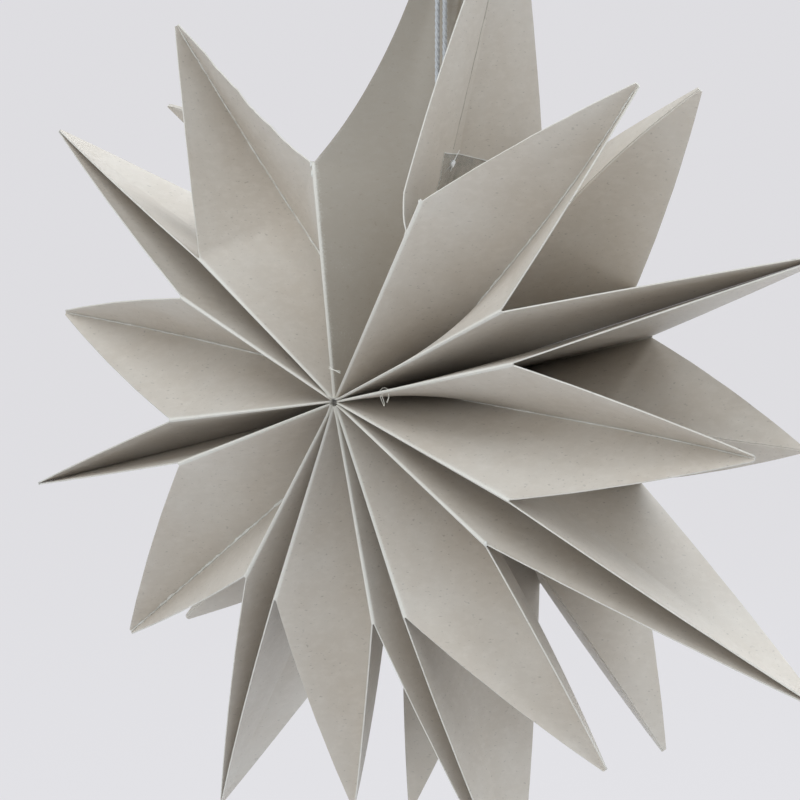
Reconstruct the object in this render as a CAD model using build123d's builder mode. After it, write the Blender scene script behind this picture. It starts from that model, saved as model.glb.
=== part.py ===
from build123d import *
from math import cos, radians, sin, sqrt, tan
import os

# A hanging paper star: seven folded bags with gusseted sides, stacked, glued panel
# to panel along their centre lines and fanned round to a full circle.
# The star's axis runs along Y, with the front at -Y, and it hangs from the top of its
# cord loop, which is the origin. Lengths are in millimetres and angles in degrees.

# The bag's sheet, measured along the sheet from the bottom fold on the star's axis
BAG_WIDTH = 70.0
SHOULDER = 64.0
GUSSET_POINT = 126.5
PANEL_POINT = 154.0
BOARD = 0.4
FOLD_NOSE = 0.8
LAYER_GAP = 0.06
CREASE_GAP = 0.7
POINT_WIDTH = 1.0
CORE_RADIUS = 2.0
GLUE_FILM = 0.06

# The directions of the glued centre lines, from +X towards +Z, and the two free
# panels at the top, which stand apart with the cord between them
TOP_RIGHT_PANEL = 76.0
TOP_LEFT_PANEL = 82.0
GLUED_LINES = [18.5, -28.5, -75.0, -118.6, -164.4, -207.3]

# How far each side fold leans from its panel's centre line into its own bag:
# one pair of left and right for each bag, at the front and at the back
FRONT_LEANS = [(12.0, 8.6), (4.3, 7.8), (5.1, 7.1), (2.4, 7.1), (3.2, 5.4), (6.0, 2.5), (8.8, 22.5)]
BACK_LEANS = [(8.0, 9.5), (3.0, 4.5), (2.5, 5.8), (3.0, 5.0), (2.5, 4.5), (2.5, 3.0), (2.0, 22.0)]

# How far each gusset point swings to the left of its crease's own line
FRONT_SWINGS = [1.5, -0.5, -3.0, -2.5, 0.5, 0.5, -6.0]
BACK_SWINGS = [-3.0, 0.5, -4.5, 5.5, 0.5, 0.5, 10.0]

# How far each gusset point curls out of the bag, away from its crease's own line
FRONT_CURLS = [2.0, 2.0, -3.5, -2.0, 3.5, 2.5, 17.0]
BACK_CURLS = [3.0, -2.0, 12.0, -11.0, -5.0, 0.0, -12.0]

# The doubled cord. It rises between the two free panels from a knot that sits against
# the first bag's left panel, beside a hole in it. Its two strands stand side by side
# across a direction turned from +X towards +Y, and part into a loop at the top.
CORD_DIAMETER = 1.4
CORD_SPACING = 2.1
CORD_TURN = 37.6
CORD_RISE = 175.0
KNOT_DIAMETER = 4.0
LOOP_WIDTH = 15.0
LOOP_SHOULDER = 10.0
LOOP_SHOULDER_DROP = 11.0
LOOP_HEIGHT = 23.0
LOOP_KNOT_DIAMETER = 4.6
LOOP_KNOT_LENGTH = 5.0
SEAT_GAP = 0.05

# The cord's tail goes through the hole to a flat stop knot, which is taped down
HOLE_HEIGHT = 64.0
HOLE_ACROSS = -5.2
HOLE_DIAMETER = 2.0
END_KNOT_DIAMETER = 3.2
END_KNOT_THICKNESS = 0.7
TAPE_FRONT = 9.5
TAPE_BACK = 14.0
TAPE_FOLD = 0.5
TAPE_WIDTH = 9.0
TAPE_THICKNESS = 0.1

# The thread through the hollow core, with a knot at each end
THREAD_DIAMETER = 1.0
THREAD_KNOT_DIAMETER = 3.2

# Worked out from the sizes above
BAG_COUNT = len(FRONT_LEANS)
LAYER_PITCH = BOARD + LAYER_GAP
BASE_STEP = 360.0 / BAG_COUNT
LEFT_LINES = [TOP_RIGHT_PANEL] + GLUED_LINES
RIGHT_LINES = GLUED_LINES + [TOP_LEFT_PANEL - 360.0]
BASE_START = sum(
    (left + right) / 2 + BASE_STEP * number
    for number, (left, right) in enumerate(zip(LEFT_LINES, RIGHT_LINES))
) / BAG_COUNT


def direction(angle):
    """The unit vector in the star's plane at an angle from +X towards +Z."""
    return Vector(cos(radians(angle)), 0, sin(radians(angle)))


def leftward(angle):
    """The unit vector square to direction(angle), towards growing angles."""
    return Vector(-sin(radians(angle)), 0, cos(radians(angle)))


def shoulder(line, lean, side, face):
    """The corner where a side fold ends: side +1 is a bag's left, face -1 its front."""
    inward = -side
    shift = SHOULDER * tan(radians(lean))
    depth = sqrt((BAG_WIDTH / 2) ** 2 - shift**2)
    return direction(line) * SHOULDER + leftward(line) * (inward * shift) + Vector(0, face * depth, 0)


def crease_heading(left_shoulder, right_shoulder, middle, face):
    """The unit vector along a gusset's crease: it keeps half the bag's width from both side folds."""
    half_width = BAG_WIDTH / 2 - CREASE_GAP / 2
    centre = (left_shoulder + right_shoulder) * 0.5
    half_span = (left_shoulder - right_shoulder).length / 2
    across = (left_shoulder - right_shoulder).normalized()
    inward = across.cross(direction(middle)).normalized()
    if inward.Y * face > 0:
        inward = inward * -1
    valley = centre + inward * sqrt(half_width**2 - half_span**2)
    side_shift = valley.dot(leftward(middle))
    reach = sqrt(SHOULDER**2 - side_shift**2 - valley.Y**2)
    heading = direction(middle) * reach + leftward(middle) * side_shift + Vector(0, valley.Y, 0)
    return heading.normalized()


def skins(points, plane, closed):
    """Both faces of a sheet along a row of points: half a board to each side, with mitred corners."""
    flat = [plane.to_local_coords(point) for point in points]
    last = len(flat) - 1
    outer, inner = [], []
    for number, point in enumerate(points):
        before = flat[number] - flat[number - 1] if closed or number > 0 else flat[1] - flat[0]
        after = flat[(number + 1) % len(flat)] - flat[number] if closed or number < last else before
        before = Vector(before.Y, -before.X).normalized()
        after = Vector(after.Y, -after.X).normalized()
        mitre = (before + after) * (BOARD / (before + after).length ** 2)
        shift = plane.x_dir * mitre.X + plane.y_dir * mitre.Y
        outer.append(point + shift)
        inner.append(point - shift)
    return outer, inner


def strip(first, second):
    """The ruled face between two straight edges."""
    return Face.make_surface_from_curves(Edge.make_line(*first), Edge.make_line(*second))


def base_points(number, radius):
    """The fourteen corners of a bag's flat stack of four layers, at a distance from the axis."""
    base = BASE_START - BASE_STEP * number
    rim = BAG_WIDTH / 2
    valley = CREASE_GAP / 2
    places = [(1.5, 0), (1.5, -rim), (0.5, -rim), (0.5, -valley)]
    places += [(-layer, depth) for layer, depth in places[:0:-1]]
    places += [(-1.5, 0)]
    places += [(-layer, -depth) for layer, depth in places[1:7]]
    return [
        direction(base) * radius + leftward(base) * (layer * LAYER_PITCH) + Vector(0, depth, 0)
        for layer, depth in places
    ]


def folded_bag(number):
    """One bag as a closed solid: a sleeve from the bottom fold to the shoulders, then four points."""
    left, right = LEFT_LINES[number], RIGHT_LINES[number]
    middle = (left + right) / 2
    base = BASE_START - BASE_STEP * number
    lift = BOARD / 2 + GLUE_FILM / 2
    nose = leftward(middle) * (FOLD_NOSE / 2)
    point_side = leftward(middle) * (POINT_WIDTH / 2)
    point_depth = Vector(0, POINT_WIDTH / 2, 0)

    corners, gussets = [], []
    for face, leans, swing, curl in (
        (-1, FRONT_LEANS[number], FRONT_SWINGS[number], FRONT_CURLS[number]),
        (1, BACK_LEANS[number], BACK_SWINGS[number], BACK_CURLS[number]),
    ):
        left_corner = shoulder(left, leans[0], 1, face) - leftward(left) * lift
        right_corner = shoulder(right, leans[1], -1, face) + leftward(right) * lift
        crease = crease_heading(left_corner, right_corner, middle, face)
        valley = crease * SHOULDER
        swung = (crease + leftward(middle) * tan(radians(swing))).normalized()
        gusset_point = swung * GUSSET_POINT + Vector(0, face * curl, 0)
        corners.append(
            [left_corner + nose, left_corner - nose, valley + nose, valley - nose]
            + [right_corner + nose, right_corner - nose]
        )
        gussets.append(
            [gusset_point + nose + point_side + point_depth * face, gusset_point + nose]
            + [gusset_point - nose, gusset_point - nose - point_side + point_depth * face]
        )
    left_centre = direction(left) * SHOULDER - leftward(left) * lift
    right_centre = direction(right) * SHOULDER + leftward(right) * lift
    left_point = direction(left) * PANEL_POINT - leftward(left) * lift
    right_point = direction(right) * PANEL_POINT + leftward(right) * lift
    mouth = [left_centre] + corners[0] + [right_centre] + corners[1][::-1]
    tips = [
        ((13, 0, 1), [left_point + point_depth, left_point, left_point - point_depth]),
        ((2, 3, 4, 5), gussets[0]),
        ((6, 7, 8), [right_point - point_depth, right_point, right_point + point_depth]),
        ((9, 10, 11, 12), gussets[1][::-1]),
    ]

    base_plane = Plane(origin=(0, 0, 0), x_dir=leftward(base), z_dir=direction(base))
    mouth_plane = Plane(origin=(0, 0, 0), x_dir=leftward(middle), z_dir=direction(middle))
    outer_base = skins(base_points(number, CORE_RADIUS), base_plane, True)[0]
    inner_base = skins(base_points(number, CORE_RADIUS + BOARD), base_plane, True)[1]
    outer_mouth, inner_mouth = skins(mouth, mouth_plane, True)

    faces = [Face(Wire.make_polygon(outer_base)), Face(Wire.make_polygon(inner_base))]
    for near, far in ((outer_base, outer_mouth), (inner_base, inner_mouth)):
        for first in range(len(near)):
            second = (first + 1) % len(near)
            faces.append(strip((near[first], far[first]), (near[second], far[second])))
    for first, second in ((1, 2), (5, 6), (8, 9), (12, 13)):
        faces.append(
            strip((outer_mouth[first], outer_mouth[second]), (inner_mouth[first], inner_mouth[second]))
        )
    for places, tip in tips:
        outer_tip, inner_tip = skins(tip, mouth_plane, False)
        outer_edge = [outer_mouth[place] for place in places]
        inner_edge = [inner_mouth[place] for place in places]
        for first in range(len(tip) - 1):
            second = first + 1
            for edge, end in ((outer_edge, outer_tip), (inner_edge, inner_tip)):
                faces.append(strip((edge[first], end[first]), (edge[second], end[second])))
            faces.append(strip((outer_tip[first], outer_tip[second]), (inner_tip[first], inner_tip[second])))
        for end in (0, -1):
            faces.append(strip((outer_edge[end], outer_tip[end]), (inner_edge[end], inner_tip[end])))
    return Solid(Shell(faces))


def panel_place(height, across):
    """A point on the middle of the first bag's left panel, and the panel's normal into the bag.

    The height is measured from the axis along the centre line, and across is towards the back.
    Below the shoulder the panel opens evenly from the flat stack of layers.
    """
    line = LEFT_LINES[0]
    lean, face = (FRONT_LEANS[0][0], -1) if across < 0 else (BACK_LEANS[0][0], 1)
    lift = leftward(line) * (BOARD / 2 + GLUE_FILM / 2)
    base = base_points(0, CORE_RADIUS)
    base_rim = base[1] if across < 0 else base[-1]
    share = min((height - CORE_RADIUS) / (SHOULDER - CORE_RADIUS), 1.0)
    side = shoulder(line, lean, 1, face) - direction(line) * SHOULDER
    slope = (side * share + (base_rim - base[0]) * (1 - share)).normalized()
    centre = (direction(line) * SHOULDER - lift) * share + base[0] * (1 - share)
    centre += direction(line) * max(height - SHOULDER, 0.0)
    normal = direction(line).cross(slope).normalized() * -face
    return centre + slope * abs(across), normal


def sheet(low, high):
    """A thin closed solid between two rows of points, each row given as its two skins."""
    faces = []
    last = len(low[0]) - 1
    for side in (0, 1):
        for first in range(last):
            near = (low[side][first], high[side][first])
            faces.append(strip(near, (low[side][first + 1], high[side][first + 1])))
    for row in (low, high):
        for first in range(last):
            faces.append(strip((row[0][first], row[0][first + 1]), (row[1][first], row[1][first + 1])))
    for end in (0, last):
        faces.append(strip((low[0][end], high[0][end]), (low[1][end], high[1][end])))
    return Solid(Shell(faces))


hole, into_bag = panel_place(HOLE_HEIGHT, HOLE_ACROSS)
knot_centre = hole - into_bag * (KNOT_DIAMETER / 2 + BOARD / 2 + SEAT_GAP)
end_knot_centre = hole + into_bag * (BOARD / 2 + SEAT_GAP + END_KNOT_THICKNESS / 2)
star_place = Location((-knot_centre.X, -knot_centre.Y, -CORD_RISE))


def cord_place(across, height):
    """A point in the upright plane of the cord's two strands, in the star's frame."""
    turn = radians(CORD_TURN)
    return Vector(knot_centre.X + across * cos(turn), knot_centre.Y + across * sin(turn), height)


def save(piece, label):
    """Place a piece made in the star's frame, label it and write its file."""
    placed = piece.moved(star_place)
    placed.label = label
    export_step(placed, f"parts/{label}.step")


os.makedirs("parts", exist_ok=True)

# The seven bags, clockwise from the upper right as seen from the front. The first one
# has the cord's hole in its left panel.
for number in range(BAG_COUNT):
    with BuildPart() as bag:
        add(folded_bag(number))
        if number == 0:
            with BuildSketch(Plane(origin=hole, z_dir=into_bag)):
                Circle(HOLE_DIAMETER / 2)
            extrude(amount=BOARD, both=True, mode=Mode.SUBTRACT)
    save(bag.part, f"bag_{number + 1}")

# The doubled cord, up one strand, round the loop and down the other, with each arc as
# large as its two runs allow
top = CORD_RISE + CORD_DIAMETER / 2
half_spacing = CORD_SPACING / 2
rising = [
    (-half_spacing, knot_centre.Z + KNOT_DIAMETER / 2),
    (-half_spacing, top - LOOP_HEIGHT),
    (-LOOP_WIDTH / 2, top - LOOP_SHOULDER_DROP),
    (-LOOP_SHOULDER / 2, top),
]
route = [cord_place(*place) for place in rising]
route += [cord_place(-across, height) for across, height in rising[::-1]]
runs = [(after - before) for before, after in zip(route, route[1:])]
cord_radii = [
    0.45 * min(before.length, after.length) / tan(radians(before.get_angle(after) / 2))
    for before, after in zip(runs, runs[1:])
]
with BuildPart() as hanging_cord:
    with BuildLine() as cord_path:
        FilletPolyline(*route, radius=cord_radii)
    with BuildSketch(Plane(origin=cord_path.line @ 0, z_dir=cord_path.line % 0)):
        Circle(CORD_DIAMETER / 2)
    sweep(path=cord_path.line)
save(hanging_cord.part, "hanging_cord")

# The lower knot, which carries both strands on its top and is pressed flat by the panel
seat = Plane(origin=hole - into_bag * (BOARD / 2 + 2 * SEAT_GAP), z_dir=into_bag)
with BuildPart() as cord_knot:
    with BuildSketch(Plane(knot_centre)):
        Circle(KNOT_DIAMETER / 2)
    extrude(amount=KNOT_DIAMETER / 2, both=True)
    fillet(cord_knot.edges(), radius=KNOT_DIAMETER / 4)
    split(bisect_by=seat, keep=Keep.BOTTOM)
save(cord_knot.part, "cord_knot")

# The tail through the hole, from the knot to the flat stop knot round its end
with BuildPart() as cord_tail:
    with BuildSketch(Plane(origin=knot_centre, z_dir=into_bag)):
        Circle(CORD_DIAMETER / 2)
    extrude(amount=(end_knot_centre - knot_centre).length)
    add(cord_knot.part, mode=Mode.SUBTRACT)
save(cord_tail.part, "cord_tail")

with BuildPart() as cord_end_knot:
    with BuildSketch(Plane(origin=end_knot_centre, z_dir=into_bag)):
        Circle(END_KNOT_DIAMETER / 2)
    extrude(amount=END_KNOT_THICKNESS / 2, both=True)
    add(cord_tail.part, mode=Mode.SUBTRACT)
save(cord_end_knot.part, "cord_end_knot")

# The loop's knot goes round both strands
with BuildPart() as loop_knot:
    with BuildSketch(Plane(cord_place(0, top - LOOP_HEIGHT))):
        Circle(LOOP_KNOT_DIAMETER / 2)
    extrude(amount=-LOOP_KNOT_LENGTH)
    fillet(loop_knot.edges(), radius=LOOP_KNOT_LENGTH / 4)
    add(hanging_cord.part, mode=Mode.SUBTRACT)
save(loop_knot.part, "loop_knot")

# The clear tape over the stop knot, which follows the panel's crease
tape_lift = BOARD / 2 + END_KNOT_THICKNESS + 2 * SEAT_GAP
rows = []
for offset in (-TAPE_WIDTH / 2, TAPE_WIDTH / 2):
    along = direction(LEFT_LINES[0]) * offset
    places = [panel_place(HOLE_HEIGHT, across) for across in (-TAPE_FRONT, -TAPE_FOLD, TAPE_FOLD, TAPE_BACK)]
    under = [place + along + normal * tape_lift for place, normal in places]
    over = [place + along + normal * (tape_lift + TAPE_THICKNESS) for place, normal in places]
    rows.append((under, over))
with BuildPart() as tape_patch:
    add(sheet(*rows))
save(tape_patch.part, "tape_patch")

# The thread through the hollow core
with BuildPart() as centre_tie:
    with BuildSketch(Plane.XZ.offset(-BAG_WIDTH / 2)):
        Circle(THREAD_DIAMETER / 2)
    extrude(amount=BAG_WIDTH)
    with Locations((0, -BAG_WIDTH / 2, 0), (0, BAG_WIDTH / 2, 0)):
        Sphere(THREAD_KNOT_DIAMETER / 2)
save(centre_tie.part, "centre_tie")

cord_length = sum(edge.length for edge in cord_path.line.edges())
print("cord radii", [round(radius, 1) for radius in cord_radii])
print("cord length", round(cord_length, 1))
print("cord volume share", round(hanging_cord.part.volume / (cord_length * Circle(CORD_DIAMETER / 2).area), 4))
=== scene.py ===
# %% [markdown]
# # A paper star made of folded bags
# Seven gusseted paper bags with pointed mouths are glued side by side and fanned round
# to a full circle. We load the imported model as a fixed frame, rebuild every bag as a
# finely divided folded sheet, and give board, cord, tape and thread their own finishes.

# %% Load the frame
import math
import bpy
import numpy as np
from mathutils.bvhtree import BVHTree
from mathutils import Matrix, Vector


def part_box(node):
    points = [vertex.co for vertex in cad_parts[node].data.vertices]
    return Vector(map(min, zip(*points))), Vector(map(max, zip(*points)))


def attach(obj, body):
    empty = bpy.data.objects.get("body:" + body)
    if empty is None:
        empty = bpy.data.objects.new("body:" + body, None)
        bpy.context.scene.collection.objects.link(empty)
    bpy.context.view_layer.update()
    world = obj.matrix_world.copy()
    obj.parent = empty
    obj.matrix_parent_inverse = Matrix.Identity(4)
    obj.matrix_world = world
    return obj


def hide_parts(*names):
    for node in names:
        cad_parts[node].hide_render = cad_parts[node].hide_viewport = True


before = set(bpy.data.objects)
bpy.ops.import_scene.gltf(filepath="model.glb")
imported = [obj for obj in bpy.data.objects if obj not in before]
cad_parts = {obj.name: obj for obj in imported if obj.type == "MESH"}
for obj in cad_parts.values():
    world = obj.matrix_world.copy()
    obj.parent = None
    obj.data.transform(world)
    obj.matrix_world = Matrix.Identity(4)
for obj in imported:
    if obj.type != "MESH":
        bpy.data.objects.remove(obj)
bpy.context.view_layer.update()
MM = 0.001
tie_low, tie_high = (np.array(corner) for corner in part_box("centre_tie"))
AXIS = (tie_low + tie_high) / 2
print("the star's axis is at", AXIS.round(4))


# %% [markdown]
# ## The camera
# The picture was taken from the right of the star's axis and from slightly above, with a
# long lens. A direction and a distance place the camera, and it looks back along that
# direction, moved sideways a little so that the star stands where it does in the picture.

# %% Camera
CAMERA_TURN = math.radians(37.61)
CAMERA_RISE = math.radians(7.42)
CAMERA_DISTANCE = 0.943
CAMERA_RIGHT = -0.00277
CAMERA_UP = -0.00288
FOCAL_PIXELS = 3213.9
PICTURE_PIXELS = 800
SENSOR = 36.0
NEAREST_SEEN = 0.01


def camera_axes(turn, rise):
    """Unit vectors to the right, up and back of a camera at that turn and rise."""
    back = np.array([math.sin(turn) * math.cos(rise), -math.cos(turn) * math.cos(rise), math.sin(rise)])
    right = np.array([math.cos(turn), math.sin(turn), 0.0])
    return right, np.cross(back, right), back


view_right, view_up, view_back = camera_axes(CAMERA_TURN, CAMERA_RISE)
camera_data = bpy.data.cameras.new("camera")
camera_data.sensor_width = SENSOR
camera_data.lens = FOCAL_PIXELS / PICTURE_PIXELS * SENSOR
camera_data.clip_start = NEAREST_SEEN
camera = bpy.data.objects.new("camera", camera_data)
bpy.context.scene.collection.objects.link(camera)
camera.location = AXIS + view_back * CAMERA_DISTANCE + view_right * CAMERA_RIGHT + view_up * CAMERA_UP
camera.rotation_euler = (math.pi / 2 - CAMERA_RISE, 0.0, CAMERA_TURN)
bpy.context.scene.camera = camera
print("the lens is", round(camera_data.lens, 1), "mm")


# %% [markdown]
# ## Small helpers
# Surfaces are worked out as whole arrays. One helper turns rows of points into a mesh and
# one makes a grid of faces from the numbers of its corners. Another closes a stack of
# rings with a point at each end, so that tubes and lumps have no open holes.

# %% Mesh helpers
def new_object(name, points, faces, smooth=True):
    """A mesh object from an array of points in metres and a list of faces."""
    mesh = bpy.data.meshes.new(name)
    mesh.from_pydata(np.asarray(points).tolist(), [], [list(map(int, face)) for face in faces])
    mesh.polygons.foreach_set("use_smooth", [smooth] * len(mesh.polygons))
    mesh.update()
    piece = bpy.data.objects.new(name, mesh)
    bpy.context.scene.collection.objects.link(piece)
    return piece


def grid_faces(numbers):
    """Quads between neighbours in a 2-D array of point numbers, rows going outwards."""
    corners = [numbers[:-1, :-1], numbers[1:, :-1], numbers[1:, 1:], numbers[:-1, 1:]]
    return np.stack(corners, axis=-1).reshape(-1, 4)


def closed_round(numbers):
    """The same numbers with the first column once more at the end, so that rows close."""
    return np.hstack([numbers, numbers[:, :1]])


def cap(ring, tip):
    """Triangles from a closed ring of point numbers to one more point."""
    return np.column_stack([ring, np.roll(ring, -1), np.full(len(ring), tip)]).tolist()


def capped(rings, start, end):
    """Rings of points, rows going outwards, as one skin closed by a point at each end."""
    numbers = np.arange(rings[..., 0].size).reshape(rings.shape[:2])
    faces = grid_faces(closed_round(numbers)).tolist()
    faces += cap(numbers[0], numbers.size) + cap(numbers[-1][::-1], numbers.size + 1)
    return np.vstack([rings.reshape(-1, 3), start, end]), faces


def joined(parts):
    """Several meshes, given as points and faces, as one."""
    points, faces, first = [], [], 0
    for part_points, part_faces in parts:
        points.append(part_points)
        faces += [[number + first for number in face] for face in part_faces]
        first += len(part_points)
    return np.vstack(points), faces


def unit(vector):
    """A vector divided by its own length."""
    return np.asarray(vector) / np.linalg.norm(vector, axis=-1, keepdims=True)


# %% [markdown]
# ## Node helper
# Shader sums are easier to read as expressions. This small class wraps a socket, and the
# usual operators on it add Math nodes. Any other node comes from one method.

# %% Node helper
class Shade:
    """A socket whose + - and * with another socket or a number add Math nodes."""

    def __init__(self, tree, socket):
        self.tree = tree
        self.socket = socket

    def node(self, kind, settings=None, inputs=None):
        """Add a node: its settings first, then the values or links of its sockets."""
        made = self.tree.nodes.new(kind)
        for name, value in (settings or {}).items():
            setattr(made, name, value)
        for name, value in (inputs or {}).items():
            if isinstance(value, Shade):
                self.tree.links.new(value.socket, made.inputs[name])
            else:
                made.inputs[name].default_value = value
        return made

    def math(self, operation, first, second, clamp=False):
        """One Math node of two values."""
        settings = {"operation": operation, "use_clamp": clamp}
        return Shade(self.tree, self.node("ShaderNodeMath", settings, {0: first, 1: second}).outputs[0])

    def __add__(self, other):
        return self.math("ADD", self, other)

    def __radd__(self, other):
        return self.math("ADD", other, self)

    def __sub__(self, other):
        return self.math("SUBTRACT", self, other)

    def __rsub__(self, other):
        return self.math("SUBTRACT", other, self)

    def __mul__(self, other):
        return self.math("MULTIPLY", self, other)

    def __rmul__(self, other):
        return self.math("MULTIPLY", other, self)

    def clamped(self):
        """The same value, kept between 0 and 1."""
        return self.math("ADD", self, 0.0, clamp=True)


# %% Finish helpers
def new_material(name):
    """A node material, its Principled shader and a Shade on the object's own coordinates."""
    material = bpy.data.materials.new(name)
    material.use_nodes = True
    tree = material.node_tree
    place = tree.nodes.new("ShaderNodeTexCoord")
    return material, tree.nodes["Principled BSDF"], Shade(tree, place.outputs["Object"])


def noise(place, scale, detail=4.0, rough=0.5, stretch=(1.0, 1.0, 1.0)):
    """A noise value between 0 and 1 at the place, with so many lumps in a metre."""
    mapped = place.node("ShaderNodeMapping", None, {"Vector": place, "Scale": stretch})
    where = Shade(place.tree, mapped.outputs[0])
    inputs = {"Vector": where, "Scale": scale, "Detail": detail, "Roughness": rough}
    return Shade(place.tree, place.node("ShaderNodeTexNoise", None, inputs).outputs["Fac"])


def attribute(place, name):
    """A value stored at the mesh's points."""
    made = place.node("ShaderNodeAttribute", {"attribute_name": name})
    return Shade(place.tree, made.outputs["Fac"])


def mixed(factor, first, second):
    """Two colours mixed by a factor."""
    made = factor.node("ShaderNodeMix", {"data_type": "RGBA"}, {0: factor, 6: first, 7: second})
    return Shade(factor.tree, made.outputs[2])


def link(value, shader, name):
    """Feed a value into one of the shader's sockets."""
    value.tree.links.new(value.socket, shader.inputs[name])


def bump(height, distance, strength):
    """The normal of a surface that is raised by a height between 0 and 1."""
    inputs = {"Height": height, "Distance": distance, "Strength": strength}
    return Shade(height.tree, height.node("ShaderNodeBump", None, inputs).outputs["Normal"])


def two_tone(name, lumps, dark, pale, roughness, tooth=None):
    """A finish of two tones mixed by one noise, which can also raise the surface a little."""
    material, shader, place = new_material(name)
    strands = noise(place, *lumps)
    link(mixed(strands, dark, pale), shader, "Base Color")
    if tooth:
        link(bump(strands, *tooth), shader, "Normal")
    shader.inputs["Roughness"].default_value = roughness
    return material


# %% [markdown]
# ## The cord
# A doubled cord rises between the two top panels, opens into a loop and comes back. Its
# line is a NURBS spline through the solid's own route. Three twisted plies are carried
# along the points that the spline gives, which is what makes a cord look like a cord.

# %% Cord route
CORD_DIAMETER = 1.4 * MM
CORD_TURN = math.radians(37.6)
# in millimetres: a strand's distance from the middle, and where it leaves the lower knot
STRAND = 1.05
KNOT_TOP = 64.056
# heights are measured from the star's axis, and the frame's origin is this far above it
HANG = 175.0 * MM
rising = [(-STRAND, KNOT_TOP), (-STRAND, 139.1), (-STRAND, 152.7), (-7.5, 164.7), (-5.0, 175.7)]
across, height = np.array(rising + [(-aside, up) for aside, up in rising[::-1]]).T * MM
route = np.stack([across * math.cos(CORD_TURN), across * math.sin(CORD_TURN), height - HANG], axis=1)


def spline_points(control, resolution=24):
    """The points of an open NURBS spline of order 3 through control points."""
    curve = bpy.data.curves.new("cord_line", "CURVE")
    curve.dimensions = "3D"
    curve.resolution_u = resolution
    spline = curve.splines.new("NURBS")
    spline.points.add(len(control) - 1)
    spline.points.foreach_set("co", np.hstack([control, np.ones((len(control), 1))]).ravel())
    spline.order_u = 3
    spline.use_endpoint_u = True
    holder = bpy.data.objects.new("cord_line", curve)
    mesh = bpy.data.meshes.new_from_object(holder)
    points = np.zeros(len(mesh.vertices) * 3)
    mesh.vertices.foreach_get("co", points)
    bpy.data.objects.remove(holder)
    bpy.data.meshes.remove(mesh)
    return points.reshape(-1, 3)


def lengths_along(path):
    """How far along a path each of its points is."""
    return np.r_[0, np.cumsum(np.linalg.norm(np.diff(path, axis=0), axis=1))]


def evenly(path, step):
    """The same line with points an even step apart."""
    lengths = lengths_along(path)
    places = np.linspace(0, lengths[-1], int(lengths[-1] / step) + 1)
    return np.stack([np.interp(places, lengths, path[:, axis]) for axis in range(3)], axis=1)


cord_line = evenly(spline_points(route), 0.4 * MM)


# %% Twisted plies
# no path here runs along this direction, so it can say which side of a path is which
HINT = np.array([0.31, 0.93, 0.2])
# how far a ply's middle is from the cord's, and its radius, as shares of the cord's diameter
PLY_OUT = 0.24
PLY_RADIUS = 0.27


def frames_along(path):
    """Two unit vectors square to a path at each of its points."""
    tangent = unit(np.gradient(path, axis=0))
    side = unit(np.cross(tangent, HINT))
    return side, np.cross(side, tangent)


def tube(path, radius, sides=8):
    """A closed tube: centre + radius * (cos a * side + sin a * other), with a point at each end."""
    path = np.asarray(path, dtype=float)
    radius = np.broadcast_to(radius, len(path))[:, None, None]
    side, other = frames_along(path)
    angle = np.arange(sides) / sides * 2 * math.pi
    ring = side[:, None] * np.cos(angle)[None, :, None] + other[:, None] * np.sin(angle)[None, :, None]
    return capped(path[:, None] + ring * radius, path[:1], path[-1:])


def plied(path, diameter, pitch, plies=3):
    """Plies that wind round a path: each is a tube on a helix of that pitch."""
    side, other = frames_along(path)
    length = lengths_along(path)
    parts = []
    for ply in range(plies):
        angle = (length / pitch + ply / plies) * 2 * math.pi
        outwards = side * np.cos(angle)[:, None] + other * np.sin(angle)[:, None]
        parts.append(tube(path + outwards * (diameter * PLY_OUT), diameter * PLY_RADIUS, sides=7))
    return joined(parts)


# %% Cord and its knots
PLY_PITCH = 5.6 * MM
LOWER_PITCH = 5.0 * MM
LOOP_KNOT = np.array([0.0, 0.0, 150.2 * MM - HANG])
LOWER_KNOT = np.array([0.0, 0.0, 62.056 * MM - HANG])


def trefoil(centre, size, rise, turn=0.0):
    """The line of a simple knot: (sin t + 2 sin 2t, cos t - 2 cos 2t, -sin 3t), scaled and turned."""
    t = np.linspace(0, 2 * math.pi, 90)
    x, y, z = np.sin(t) + 2 * np.sin(2 * t), np.cos(t) - 2 * np.cos(2 * t), -np.sin(3 * t)
    turned_x = x * math.cos(turn) - y * math.sin(turn)
    turned_y = x * math.sin(turn) + y * math.cos(turn)
    return np.asarray(centre) + np.column_stack([turned_x * size, turned_y * size, z * rise])


loop_turns = trefoil(LOOP_KNOT, 0.5 * MM, 1.5 * MM)
lower_turns = trefoil(LOWER_KNOT, 0.42 * MM, 1.1 * MM, turn=0.6)
cord = new_object("hanging_cord_plies", *plied(cord_line, CORD_DIAMETER, PLY_PITCH))
loop_knot = new_object("loop_knot_plies", *plied(loop_turns, CORD_DIAMETER, PLY_PITCH))
lower_knot = new_object("lower_knot_plies", *plied(lower_turns, CORD_DIAMETER * 0.9, LOWER_PITCH))
print("the cord has", len(cord.data.polygons), "faces")


# %% [markdown]
# ## The cord's finish
# The cord is grey cotton. Slow lumps and fine threads mix two greys, the threads also
# raise the surface, and a little sheen stands for the fuzz that is too fine to model.

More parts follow.
